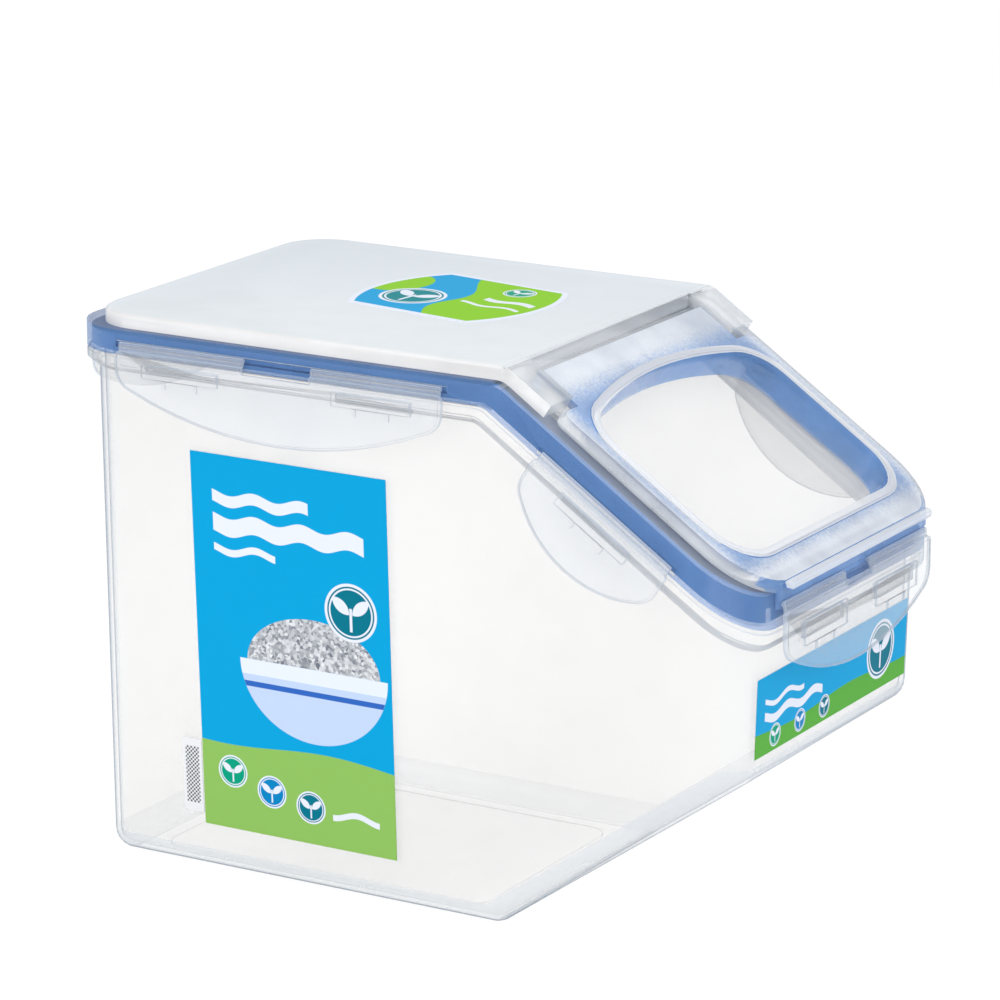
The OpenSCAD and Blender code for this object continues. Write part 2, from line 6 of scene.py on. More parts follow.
import bpy
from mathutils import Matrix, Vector


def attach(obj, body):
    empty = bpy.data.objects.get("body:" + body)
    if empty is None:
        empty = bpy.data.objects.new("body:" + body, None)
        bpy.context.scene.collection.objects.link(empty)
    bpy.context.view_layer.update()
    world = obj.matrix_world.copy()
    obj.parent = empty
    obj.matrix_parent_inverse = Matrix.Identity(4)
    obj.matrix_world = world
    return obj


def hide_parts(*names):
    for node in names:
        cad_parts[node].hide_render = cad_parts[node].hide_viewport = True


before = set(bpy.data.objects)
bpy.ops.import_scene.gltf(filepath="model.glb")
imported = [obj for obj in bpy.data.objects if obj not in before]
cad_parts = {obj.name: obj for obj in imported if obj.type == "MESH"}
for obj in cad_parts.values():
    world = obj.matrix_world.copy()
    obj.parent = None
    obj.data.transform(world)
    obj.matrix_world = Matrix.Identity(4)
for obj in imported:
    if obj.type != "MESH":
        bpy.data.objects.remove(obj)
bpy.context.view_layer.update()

# The camera: it stands well off the bin's front near corner and a little above it, with a long lens
# that keeps the upright edges nearly upright.
camera_place = (0.80316, -1.3698, 0.5642)
camera_fall = math.radians(15.20)
camera_turn = math.radians(30.48)
bpy.ops.object.camera_add(location=camera_place)
camera = bpy.context.object
camera.rotation_euler = (math.radians(90) - camera_fall, 0, camera_turn)
camera.data.sensor_width = 36
camera.data.lens = 170.49
camera.data.clip_end = 20
bpy.context.scene.camera = camera
bpy.context.scene.view_settings.view_transform = "Standard"

# The lamps: three square soft boxes, one overhead, one beyond the near side and one before the pouring
# end. They are weak, because the white room gives much of the light.
bin_middle = Vector((0, 0, 0.1))
for name, place, size, power in (
    ("overhead_lamp", (0.2, -0.1, 1.6), 1.0, 6.5),
    ("near_lamp", (-0.7, -1.5, 0.8), 1.0, 12.5),
    ("front_lamp", (1.7, -0.2, 0.9), 0.9, 10),
):
    bpy.ops.object.light_add(type="AREA", location=place)
    lamp = bpy.context.object
    lamp.name = name
    lamp.data.size = size
    lamp.data.energy = power
    lamp.rotation_euler = (bin_middle - Vector(place)).to_track_quat("-Z", "Y").to_euler()

# The room: plain white on every side. The camera sees it as full white, straight or through clear
# plastic, and it lights the bin a little less strongly than that.
room_seen = 1
room_light = 0.62
world = bpy.data.worlds.new("white_room")
bpy.context.scene.world = world
world.use_nodes = True
nodes = world.node_tree.nodes
links = world.node_tree.links
seen = nodes.new("ShaderNodeBackground")
seen.inputs["Color"].default_value = (1, 1, 1, 1)
seen.inputs["Strength"].default_value = room_seen
lit = nodes["Background"]
lit.inputs["Color"].default_value = (1, 1, 1, 1)
lit.inputs["Strength"].default_value = room_light
path = nodes.new("ShaderNodeLightPath")
either = nodes.new("ShaderNodeMath")
either.operation = "MAXIMUM"
choose = nodes.new("ShaderNodeMixShader")
links.new(path.outputs["Is Camera Ray"], either.inputs[0])
links.new(path.outputs["Is Transmission Ray"], either.inputs[1])
links.new(either.outputs[0], choose.inputs[0])
links.new(lit.outputs[0], choose.inputs[1])
links.new(seen.outputs[0], choose.inputs[2])
links.new(choose.outputs[0], nodes["World Output"].inputs["Surface"])

# The table: a wide sheet of white card, a hair below the bin's foot. Most of what the camera sees of it
# is an even white of its own, and the rest takes the bin's soft shadow.
table_width = 8
table_drop = 0.0002
card_white = (0.9, 0.9, 0.9, 1)
own_white = 1.08
own_share = 0.86
bpy.ops.object.select_all(action="DESELECT")
bpy.ops.mesh.primitive_plane_add(size=table_width, location=(0, 0, -table_drop))
table = bpy.context.object
table.name = "table"
card = bpy.data.materials.new("white_card")
card.use_nodes = True
nodes = card.node_tree.nodes
links = card.node_tree.links
shade = nodes["Principled BSDF"]
shade.inputs["Base Color"].default_value = card_white
shade.inputs["Roughness"].default_value = 0.9
glow = nodes.new("ShaderNodeEmission")
glow.inputs["Strength"].default_value = own_white
path = nodes.new("ShaderNodeLightPath")
share = nodes.new("ShaderNodeMath")
share.operation = "MULTIPLY"
share.inputs[1].default_value = own_share
blend = nodes.new("ShaderNodeMixShader")
links.new(path.outputs["Is Camera Ray"], share.inputs[0])
links.new(share.outputs[0], blend.inputs[0])
links.new(shade.outputs[0], blend.inputs[1])
links.new(glow.outputs[0], blend.inputs[2])
links.new(blend.outputs[0], nodes["Material Output"].inputs["Surface"])
table.data.materials.append(card)


# The container: one injection moulding of clear, faintly milky polypropylene, with a stepped flange
# round its mouth. The thin wall keeps little of the light; the blue-grey on its rounded corners and
# edges is painted shade.
def merged_copy(node, name):
    """Copies a CAD solid and merges its triangles into whole faces."""
    bpy.ops.object.select_all(action="DESELECT")
    piece = bpy.data.objects.new(name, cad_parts[node].data.copy())
    bpy.context.collection.objects.link(piece)
    bpy.context.view_layer.objects.active = piece
    piece.select_set(True)
    piece.data.materials.clear()
    bpy.ops.object.mode_set(mode="EDIT")
    bpy.ops.mesh.select_all(action="SELECT")
    bpy.ops.mesh.remove_doubles(threshold=2e-6)
    bpy.ops.mesh.dissolve_limited(angle_limit=math.radians(0.6))
    bpy.ops.object.mode_set(mode="OBJECT")
    return piece


def ease_edges(piece, width, edge_material=-1, held_in=True):
    """Rounds the sharp edges, as a mould leaves them, and smooths the shading between them."""
    bevel = piece.modifiers.new("eased_edges", "BEVEL")
    bevel.width = width
    bevel.segments = 2
    bevel.limit_method = "ANGLE"
    bevel.angle_limit = math.radians(35)
    bevel.material = edge_material
    bevel.use_clamp_overlap = held_in
    bevel.miter_outer = "MITER_ARC"
    bpy.ops.object.modifier_apply(modifier="eased_edges")
    bpy.ops.object.shade_smooth_by_angle(angle=math.radians(32))


def fit_moulding(piece, node, body, plastics):
    """Puts a finished moulding in the place of its CAD solid."""
    for plastic in plastics:
        piece.data.materials.append(plastic)
    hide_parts(node)
    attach(piece, body)


def clear_plastic(
    name, colour, haze, rim_colour, rim_haze, roughness, ripple, mottle=0.0, rim_from=0.6
):
    """Thin plastic: a face keeps the share haze of the light, and rim_haze where it is seen edge-on.

    The two colours are for those two ways of seeing it; a rim colour darker than the face colour is a
    painted shade on faces seen edge-on. The haze clouds by the share mottle, the surface is uneven by
    ripple, and rim_from says how far a face turns away before its rim starts.
    """
    plastic = bpy.data.materials.new(name)
    plastic.use_nodes = True
    nodes = plastic.node_tree.nodes
    links = plastic.node_tree.links
    shade = nodes["Principled BSDF"]
    shade.inputs["Roughness"].default_value = roughness
    shade.inputs["IOR"].default_value = 1.49
    facing = nodes.new("ShaderNodeLayerWeight")
    facing.inputs["Blend"].default_value = 0.5
    edge_on = nodes.new("ShaderNodeMapRange")
    edge_on.interpolation_type = "SMOOTHSTEP"
    edge_on.inputs["From Min"].default_value = rim_from
    edge_on.inputs["From Max"].default_value = 0.93
    links.new(facing.outputs["Facing"], edge_on.inputs["Value"])
    tint = nodes.new("ShaderNodeMixRGB")
    tint.inputs["Color1"].default_value = (*colour, 1)
    tint.inputs["Color2"].default_value = (*rim_colour, 1)
    links.new(edge_on.outputs[0], tint.inputs["Fac"])
    links.new(tint.outputs[0], shade.inputs["Base Color"])
    place = nodes.new("ShaderNodeTexCoord")
    cloud = nodes.new("ShaderNodeTexNoise")
    cloud.inputs["Scale"].default_value = 45
    cloud.inputs["Detail"].default_value = 4
    links.new(place.outputs["Object"], cloud.inputs["Vector"])
    milk = nodes.new("ShaderNodeMapRange")
    milk.inputs["From Min"].default_value = 0.3
    milk.inputs["From Max"].default_value = 0.7
    milk.inputs["To Min"].default_value = haze * (1 - mottle)
    milk.inputs["To Max"].default_value = haze * (1 + mottle)
    links.new(cloud.outputs["Fac"], milk.inputs["Value"])
    keep = nodes.new("ShaderNodeMapRange")
    keep.inputs["To Max"].default_value = rim_haze
    links.new(edge_on.outputs[0], keep.inputs["Value"])
    links.new(milk.outputs[0], keep.inputs["To Min"])
    links.new(keep.outputs[0], shade.inputs["Alpha"])
    grain = nodes.new("ShaderNodeTexNoise")
    grain.inputs["Scale"].default_value = 160
    grain.inputs["Detail"].default_value = 3
    links.new(place.outputs["Object"], grain.inputs["Vector"])
    bump = nodes.new("ShaderNodeBump")
    bump.inputs["Strength"].default_value = ripple
    bump.inputs["Distance"].default_value = 0.0004
    links.new(grain.outputs["Fac"], bump.inputs["Height"])
    links.new(bump.outputs[0], shade.inputs["Normal"])
    return plastic


# Its rim colour is a painted blue-grey shade where the wall is seen edge-on.
container_wall = clear_plastic(
    "container_wall",
    colour=(1.0, 0.985, 0.975),
    haze=0.2,
    rim_colour=(0.45, 0.55, 0.66),
    rim_haze=0.62,
    roughness=0.22,
    ripple=0.04,
    mottle=0.08,
    rim_from=0.72,
)
# A painted blue-grey shade on the container's rounded edges and flange steps.
container_edge_shade = clear_plastic(
    "container_edge_shade",
    colour=(0.66, 0.74, 0.83),
    haze=0.5,
    rim_colour=(0.42, 0.51, 0.62),
    rim_haze=0.65,
    roughness=0.15,
    ripple=0.0,
)
# A painted blue-grey shade on the small faces of the rounded foot, darkest where seen edge-on.
container_foot_shade = clear_plastic(
    "container_foot_shade",
    colour=(0.74, 0.80, 0.86),
    haze=0.32,
    rim_colour=(0.24, 0.32, 0.42),
    rim_haze=0.85,
    roughness=0.2,
    ripple=0.03,
    mottle=0.05,
    rim_from=0.55,
)
# A painted blue-grey shade on the rounded upright corners, where they are seen edge-on.
container_corner_shade = clear_plastic(
    "container_corner_shade",
    colour=(0.95, 0.96, 0.97),
    haze=0.2,
    rim_colour=(0.20, 0.29, 0.40),
    rim_haze=0.85,
    roughness=0.2,
    ripple=0.03,
    mottle=0.05,
    rim_from=0.45,
)
container_floor = clear_plastic(
    "container_floor",
    colour=(1.0, 0.985, 0.98),
    haze=0.2,
    rim_colour=(0.86, 0.89, 0.92),
    rim_haze=0.26,
    roughness=0.22,
    ripple=0.04,
    mottle=0.08,
)
container_plastics = (
    container_wall,
    container_edge_shade,
    container_foot_shade,
    container_floor,
    container_corner_shade,
)
wall, edge, foot, floor, corner = range(len(container_plastics))
mould_edge = 0.00025
# Below nose_top, downward faces are the underside, and the small ones among them its rounded foot, which
# gets a painted blue-grey shade. Small level faces above flange_low are the flange's steps, painted with
# the edges' shade. A face turned by more than corner_turn from both walls is a rounded upright corner,
# also painted with a shade where seen edge-on.
nose_top = 0.09
foot_face = 0.0004
flange_low = 0.115
flange_face = 0.0012
corner_turn = 0.06
container = merged_copy("container_body", "container")
ease_edges(container, mould_edge, edge)
for face in container.data.polygons:
    plain = face.material_index == wall
    low = face.center.z < nose_top
    if plain and low and face.normal.z < -0.1:
        face.material_index = foot if face.area < foot_face else floor
    elif plain and low and face.normal.z > 0.4:
        face.material_index = floor
    elif face.center.z > flange_low and abs(face.normal.z) > 0.5 and face.area < flange_face:
        face.material_index = edge
    elif plain and min(abs(face.normal.x), abs(face.normal.y)) > corner_turn:
        face.material_index = corner
fit_moulding(container, "container_body", "container", container_plastics)

# The main lid: one moulding with a raised top that is frosted in the mould, and a clear ledge and
# skirt all round it, through which the blue seal shows. Its plug wall sits inside the container.
lid_clear = clear_plastic(
    "lid_clear",
    colour=(0.60, 0.78, 0.95),
    haze=0.05,
    rim_colour=(0.62, 0.74, 0.90),
    rim_haze=0.4,
    roughness=0.15,
    ripple=0.05,
    mottle=0.2,
)
# A painted highlight: whitish lines on the lid's rounded edges; the downward faces take it too.
lid_edge_highlight = clear_plastic(
    "lid_edge_highlight",
    colour=(0.93, 0.95, 0.97),
    haze=0.6,
    rim_colour=(0.75, 0.81, 0.9),
    rim_haze=0.8,
    roughness=0.15,
    ripple=0.0,
)
lid_frost = clear_plastic(
    "lid_frost",
    colour=(0.76, 0.80, 0.82),
    haze=0.9,
    rim_colour=(0.74, 0.80, 0.86),
    rim_haze=0.95,
    roughness=0.45,
    ripple=0.3,
    mottle=0.04,
)
lid_side = clear_plastic(
    "lid_side",
    colour=(0.91, 0.91, 0.92),
    haze=0.75,
    rim_colour=(0.55, 0.63, 0.72),
    rim_haze=0.9,
    roughness=0.3,
    ripple=0.1,
    mottle=0.05,
    rim_from=0.72,
)
lid_haze = clear_plastic(
    "lid_haze",
    colour=(0.92, 0.95, 0.98),
    haze=0.38,
    rim_colour=(0.78, 0.84, 0.92),
    rim_haze=0.5,
    roughness=0.2,
    ripple=0.06,
    mottle=0.1,
)
lid_ledge = clear_plastic(
    "lid_ledge",
    colour=(0.17, 0.32, 0.68),
    haze=0.8,
    rim_colour=(0.17, 0.32, 0.68),
    rim_haze=0.85,
    roughness=0.2,
    ripple=0.05,
    mottle=0.1,
)
lid_rim = clear_plastic(
    "lid_rim",
    colour=(0.17, 0.28, 0.55),
    haze=0.5,
    rim_colour=(0.17, 0.28, 0.55),
    rim_haze=0.6,
    roughness=0.2,
    ripple=0.05,
    mottle=0.1,
)
lid_skirt = clear_plastic(
    "lid_skirt",
    colour=(0.17, 0.36, 0.76),
    haze=0.45,
    rim_colour=(0.17, 0.36, 0.76),
    rim_haze=0.6,
    roughness=0.15,
    ripple=0.05,
    mottle=0.1,
)
lid_plastics = (lid_clear, lid_edge_highlight, lid_frost, lid_side, lid_haze, lid_ledge, lid_rim, lid_skirt)
clear, edge, frost, side, haze, ledge, rim, skirt = range(len(lid_plastics))
# The ledge runs level and then falls with the slope. The skirt's faces are the outermost ones, measured
# from the middles of its rounded corners.
top_height = 0.2003
top_front = 0.0235
ledge_height = 0.1953
ledge_front = 0.03
ledge_back = (0.001, 0.0026)
slope = math.radians(34)
slope_up = Vector((math.sin(slope), 0, math.cos(slope)))
slope_top = Vector((0.03996, 0, ledge_height))
skirt_corner_side = 0.0565
skirt_corner_front = 0.1144
skirt_corner_rear = -0.1163
skirt_reach = 0.0155
mouth_half_width = 0.066
mouth_rear = -0.126
mouth_front = 0.123
slack = 0.0003
wide_slack = 0.0004
squarely = 0.98
lid = merged_copy("lid_frame", "main_lid")
soft = lid.data.attributes.new("bevel_weight_edge", "FLOAT", "EDGE")
for line in lid.data.edges:
    ends = [lid.data.vertices[index].co for index in line.vertices]
    if all(abs(end.z - top_height) < 1e-5 for end in ends):
        soft.data[line.index].value = 1
bevel = lid.modifiers.new("soft_top", "BEVEL")
bevel.width = 0.0018
bevel.segments = 4
bevel.limit_method = "WEIGHT"
bevel.use_clamp_overlap = False
bpy.ops.object.modifier_apply(modifier="soft_top")
lid.data.attributes.remove(lid.data.attributes["bevel_weight_edge"])
ease_edges(lid, mould_edge, edge)
for face in lid.data.polygons:
    middle = face.center
    up = face.normal.z
    tilt = face.normal.dot(slope_up)
    depth = (slope_top - middle).dot(slope_up)
    raised = middle.z > ledge_height + slack
    sideways = max(abs(middle.y) - skirt_corner_side, 0)
    endways = max(middle.x - skirt_corner_front, skirt_corner_rear - middle.x, 0)
    faces_out = middle.x * face.normal.x + middle.y * face.normal.y > 0
    outermost = faces_out and abs(up) < 0.5 and math.hypot(sideways, endways) > skirt_reach
    within = abs(middle.y) < mouth_half_width and mouth_rear < middle.x < mouth_front
    if middle.z > top_height - wide_slack and up > 0.9:
        face.material_index = frost
    elif abs(middle.z - ledge_height) < slack and up > squarely and middle.x < ledge_front:
        face.material_index = rim
    elif abs(depth) < wide_slack and tilt > squarely:
        face.material_index = clear
    elif face.material_index == clear and outermost:
        face.material_index = skirt
    elif ledge_back[0] < ledge_height - middle.z < ledge_back[1] and up < -squarely:
        face.material_index = ledge
    elif ledge_back[0] < depth < ledge_back[1] and tilt < -squarely:
        face.material_index = haze
    elif raised and middle.x < top_front:
        face.material_index = side
    elif raised or (face.material_index == clear and within):
        face.material_index = haze
    elif up < -0.7:
        face.material_index = edge
fit_moulding(lid, "lid_frame", "lid", lid_plastics)

# The seals: two rings moulded of soft blue silicone, one pressed into the main lid's groove and one
# into the flip lid's. Handling leaves them slightly dull and uneven.
deep_blue = (0.004, 0.056, 0.22, 1)
worn_blue = (0.008, 0.085, 0.30, 1)
silicone = bpy.data.materials.new("blue_silicone")
silicone.use_nodes = True
nodes = silicone.node_tree.nodes
links = silicone.node_tree.links
shade = nodes["Principled BSDF"]
shade.inputs["Roughness"].default_value = 0.45
place = nodes.new("ShaderNodeTexCoord")
patch = nodes.new("ShaderNodeTexNoise")
patch.inputs["Scale"].default_value = 60
patch.inputs["Detail"].default_value = 4
blues = nodes.new("ShaderNodeMixRGB")
blues.inputs["Color1"].default_value = deep_blue
blues.inputs["Color2"].default_value = worn_blue
links.new(place.outputs["Object"], patch.inputs["Vector"])
links.new(patch.outputs["Fac"], blues.inputs["Fac"])
links.new(blues.outputs[0], shade.inputs["Base Color"])
for node, name, body in (("lid_gasket", "main_seal", "lid"), ("flip_gasket", "flip_seal", "flip")):
    seal = merged_copy(node, name)
    ease_edges(seal, mould_edge)
    fit_moulding(seal, node, body, (silicone,))


# The flip lid: one moulding that turns on two pins of its own between the main lid's shoulders. It is
# frosted round a clear sunk window, with a bead along the window's rim.
def calc(tree, operation, *values):
    """Adds one step of arithmetic on numbers and on other steps."""
    step = tree.nodes.new("ShaderNodeMath")
    step.operation = operation
    for socket, value in zip(step.inputs, values):
        if isinstance(value, bpy.types.NodeSocket):
            tree.links.new(value, socket)
        else:
            socket.default_value = value
    return step.outputs[0]


flip_clear = clear_plastic(
    "flip_clear",
    colour=(0.88, 0.92, 0.97),
    haze=0.3,
    rim_colour=(0.70, 0.77, 0.87),
    rim_haze=0.5,
    roughness=0.15,
    ripple=0.05,
    mottle=0.2,
)
# A painted highlight: whitish lines on the flip lid's rounded edges and on the window's bead.
flip_edge_highlight = clear_plastic(
    "flip_edge_highlight",
    colour=(0.93, 0.95, 0.97),
    haze=0.6,
    rim_colour=(0.75, 0.81, 0.9),
    rim_haze=0.8,
    roughness=0.15,
    ripple=0.0,
)
flip_frost = clear_plastic(
    "flip_frost",
    colour=(0.80, 0.84, 0.89),
    haze=0.72,
    rim_colour=(0.70, 0.77, 0.87),
    rim_haze=0.8,
    roughness=0.4,
    ripple=0.5,
    mottle=0.2,
)
flip_pane = clear_plastic(
    "flip_pane",
    colour=(0.97, 0.965, 0.97),
    haze=0.1,
    rim_colour=(0.85, 0.88, 0.92),
    rim_haze=0.2,
    roughness=0.08,
    ripple=0.02,
)
flip_wall = clear_plastic(
    "flip_wall",
    colour=(0.22, 0.42, 0.80),
    haze=0.5,
    rim_colour=(0.22, 0.42, 0.80),
    rim_haze=0.6,
    roughness=0.15,
    ripple=0.1,
    mottle=0.3,
)
flip_plastics = (flip_clear, flip_edge_highlight, flip_frost, flip_pane, flip_wall)
clear, edge, frost, pane, well_wall = range(len(flip_plastics))
flip_top = 0.0034
pane_drop = 0.002
pane_half_width = 0.05
bead_rear = 0.055
well_half_width = 0.0605
flip = merged_copy("flip_lid", "flip_lid_moulding")
ease_edges(flip, mould_edge, edge)
for face in flip.data.polygons:
    tilt = face.normal.dot(slope_up)
    rise = (face.center - slope_top).dot(slope_up)
    aside = abs(face.center.y)
    if tilt > 0.97 and abs(rise - flip_top) < slack:
        face.material_index = frost
    elif abs(tilt) > 0.97 and rise < -pane_drop and aside < pane_half_width:
        face.material_index = pane
    elif rise > flip_top + slack and face.center.x > bead_rear:
        face.material_index = edge
    elif face.material_index == clear and rise < flip_top + 2 * slack and aside < well_half_width:
        face.material_index = well_wall
# The blue of the seal under it shows through the frost as a speckled ring round the window.
window_middle = (0.08886, 0, 0.1623)
window_half_length = 0.0388
window_half_width = 0.0590
seal_glow = (0.30, 0.45, 0.74, 1)
glow_inner = 0.004
glow_outer = 0.016
frost_spread = 0.012
tree = flip_frost.node_tree
shade = tree.nodes["Principled BSDF"]
place = tree.nodes.new("ShaderNodeTexCoord")
flat_on = tree.nodes.new("ShaderNodeMapping")
flat_on.vector_type = "TEXTURE"
flat_on.inputs["Location"].default_value = window_middle
flat_on.inputs["Rotation"].default_value = (0, slope, 0)
axes = tree.nodes.new("ShaderNodeSeparateXYZ")
tree.links.new(place.outputs["Object"], flat_on.inputs["Vector"])
tree.links.new(flat_on.outputs[0], axes.inputs[0])
past_end = calc(tree, "SUBTRACT", calc(tree, "ABSOLUTE", axes.outputs["X"]), window_half_length)
past_side = calc(tree, "SUBTRACT", calc(tree, "ABSOLUTE", axes.outputs["Y"]), window_half_width)
speck = tree.nodes.new("ShaderNodeTexNoise")
speck.inputs["Scale"].default_value = 900
speck.inputs["Detail"].default_value = 5
tree.links.new(place.outputs["Object"], speck.inputs["Vector"])
from_window = calc(
    tree, "MULTIPLY_ADD", speck.outputs["Fac"], frost_spread, calc(tree, "MAXIMUM", past_end, past_side)
)
fade = tree.nodes.new("ShaderNodeMapRange")
fade.interpolation_type = "SMOOTHSTEP"
fade.inputs["From Min"].default_value = glow_inner
fade.inputs["From Max"].default_value = glow_outer
tree.links.new(from_window, fade.inputs["Value"])
ring = tree.nodes.new("ShaderNodeMixRGB")
ring.inputs["Color1"].default_value = seal_glow
tree.links.new(fade.outputs[0], ring.inputs["Fac"])
tree.links.new(shade.inputs["Base Color"].links[0].from_socket, ring.inputs["Color2"])
tree.links.new(ring.outputs[0], shade.inputs["Base Color"])
fit_moulding(flip, "flip_lid", "flip", flip_plastics)

# The six locks: flat plates of the same plastic, hinged on the lid's edge and hooked under the
# container's flange. Their edges and catches carry a painted shade, bluer than the plate.
lock_clear = clear_plastic(
    "lock_clear",
    colour=(0.77, 0.82, 0.88),
    haze=0.2,
    rim_colour=(0.58, 0.65, 0.75),
    rim_haze=0.5,
    roughness=0.15,
    ripple=0.02,
    mottle=0.05,
)
# A painted shade: a darker blue tint on the locks' rounded edges and catches.
lock_edge_shade = clear_plastic(
    "lock_edge_shade",
    colour=(0.58, 0.65, 0.75),
    haze=0.5,
    rim_colour=(0.50, 0.58, 0.70),
    rim_haze=0.7,
    roughness=0.12,
    ripple=0.0,
)
lock_plastics = (lock_clear, lock_edge_shade)
clear, edge = range(len(lock_plastics))
lock_mould_edge = 0.0003
plate_facing = 0.6
for place in ("near_rear", "far_rear", "near_front", "far_front", "rear", "front"):
    lock = merged_copy(place + "_latch", place + "_lock_plate")
    ease_edges(lock, lock_mould_edge, edge, held_in=False)
    out_axis = 0 if place in ("rear", "front") else 1
    for face in lock.data.polygons:
        if abs(face.normal[out_axis]) < plate_facing:
            face.material_index = edge
    fit_moulding(lock, place + "_latch", place + "_lock", lock_plastics)

# The side label: a tall sheet of printed film, stuck on the container's near wall. Its print is plain: a
# wavy field of green under one of cyan, white waves, a bowl of grain and round seals with two leaves.
cyan = (0.0, 0.345, 0.68)
green = (0.26, 0.50, 0.11)
teal = (0.0, 0.17, 0.25)
pine = (0.0, 0.33, 0.20)
navy = (0.0, 0.22, 0.52)
white = (0.76, 0.80, 0.90)


def new_film(name, roughness):
    """Starts a printed film. Returns it with its node tree and its shader."""
    film = bpy.data.materials.new(name)
    film.use_nodes = True
    shade = film.node_tree.nodes["Principled BSDF"]
    shade.inputs["Roughness"].default_value = roughness
    shade.inputs["Specular IOR Level"].default_value = 0.06
    return film, film.node_tree, shade


def print_plane(tree, middle, axes, turn=0.0):
    """Gives the print's two directions, across and up, in millimetres from the label's middle."""
    place = tree.nodes.new("ShaderNodeTexCoord")
    centred = tree.nodes.new("ShaderNodeMapping")
    centred.vector_type = "TEXTURE"
    centred.inputs["Location"].default_value = middle
    centred.inputs["Rotation"].default_value = (0, 0, math.radians(turn))
    centred.inputs["Scale"].default_value = (0.001, 0.001, 0.001)
    parts = tree.nodes.new("ShaderNodeSeparateXYZ")
    tree.links.new(place.outputs["Object"], centred.inputs["Vector"])
    tree.links.new(centred.outputs[0], parts.inputs[0])
    return parts.outputs[axes[0]], parts.outputs[axes[1]]


def disc(tree, across, up, middle, radius, squash=1.0):
    """Distance inside a disc, or inside an oval that is squash times as wide as it is high."""
    aside = calc(tree, "SUBTRACT", across, middle[0])
    above = calc(tree, "MULTIPLY", calc(tree, "SUBTRACT", up, middle[1]), squash)
    square = calc(tree, "ADD", calc(tree, "POWER", aside, 2), calc(tree, "POWER", above, 2))
    return calc(tree, "SUBTRACT", radius, calc(tree, "SQRT", square))


def under_wave(tree, across, up, level, height, length, start=0.0, lean=0.0):
    """Distance below a wavy line that may lean."""
    angle = calc(tree, "MULTIPLY_ADD", across, 2 * math.pi / length, start)
    swell = calc(tree, "MULTIPLY", calc(tree, "SINE", angle), height)
    line = calc(tree, "ADD", swell, calc(tree, "MULTIPLY", across, lean))
    return calc(tree, "SUBTRACT", calc(tree, "ADD", line, level), up)


def ink(tree, under, distance, colour):
    """Prints a colour over what is there, where the distance is above zero, with a soft edge."""
    cover = calc(tree, "MULTIPLY_ADD", distance, 5.0, 0.5)
    cover.node.use_clamp = True
    over = tree.nodes.new("ShaderNodeMixRGB")
    tree.links.new(cover, over.inputs["Fac"])
    for socket, value in zip((over.inputs["Color1"], over.inputs["Color2"]), (under, colour)):
        if isinstance(value, bpy.types.NodeSocket):
            tree.links.new(value, socket)
        else:
            socket.default_value = (*value, 1)
    return over.outputs[0]


def white_waves(tree, under, across, up, strokes):
    """Prints white wavy strokes with square ends. Each has its left and right end, level and width."""
    for left, right, level, width in strokes:
        low = under_wave(tree, across, up, level, 1.1, 19)
        band = calc(tree, "SUBTRACT", width / 2, calc(tree, "ABSOLUTE", low))
        aside = calc(tree, "ABSOLUTE", calc(tree, "SUBTRACT", across, (left + right) / 2))
        ends = calc(tree, "SUBTRACT", (right - left) / 2, aside)
        under = ink(tree, under, calc(tree, "MINIMUM", band, ends), white)
    return under


def leaf_seal(tree, under, across, up, middle, radius, field):
    """A round seal: a white rim, a coloured field and a pair of white leaves on a stem."""
    for share, colour in ((1, white), (0.9, field), (0.84, white), (0.78, field)):
        under = ink(tree, under, disc(tree, across, up, middle, radius * share), colour)
    for side in (-1, 1):
        halves = []
        for lift in (-1, 1):
            heart = (
                middle[0] + side * radius * (0.38 - lift * 0.22),
                middle[1] + radius * (0.2 + lift * 0.26),
            )
            halves.append(disc(tree, across, up, heart, radius * 0.54))
        under = ink(tree, under, calc(tree, "MINIMUM", *halves), white)
    stem = calc(tree, "ABSOLUTE", calc(tree, "SUBTRACT", across, middle[0]))
    stem = calc(tree, "SUBTRACT", radius * 0.05, stem)
    foot = disc(tree, across, up, (middle[0], middle[1] - radius * 0.25), radius * 0.4)
    return ink(tree, under, calc(tree, "MINIMUM", stem, foot), white)


def stick_on(node, film, shade, tree, colour):
    """Gives the label its print and film, with a faint unevenness in the gloss."""
    tree.links.new(colour, shade.inputs["Base Color"])
    place = tree.nodes.new("ShaderNodeTexCoord")
    uneven = tree.nodes.new("ShaderNodeTexNoise")
    uneven.inputs["Scale"].default_value = 90
    bump = tree.nodes.new("ShaderNodeBump")
    bump.inputs["Strength"].default_value = 0.06
    bump.inputs["Distance"].default_value = 0.0003
    tree.links.new(place.outputs["Object"], uneven.inputs["Vector"])
    tree.links.new(uneven.outputs["Fac"], bump.inputs["Height"])
    tree.links.new(bump.outputs[0], shade.inputs["Normal"])
    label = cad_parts[node]
    label.data.materials.clear()
    label.data.materials.append(film)


film, tree, shade = new_film("side_film", 0.4)
across, up = print_plane(tree, (-0.04754, 0, 0.0859), ("X", "Z"))
field_edge = under_wave(tree, across, up, level=-36, height=1.6, length=90, start=0.6, lean=-0.02)
print_colour = ink(tree, cyan, field_edge, green)
side_strokes = ((-31, 8, 53, 4.2), (-31, 30, 43.5, 6.5), (-31, -6, 34.5, 2.6))
print_colour = white_waves(tree, print_colour, across, up, side_strokes)

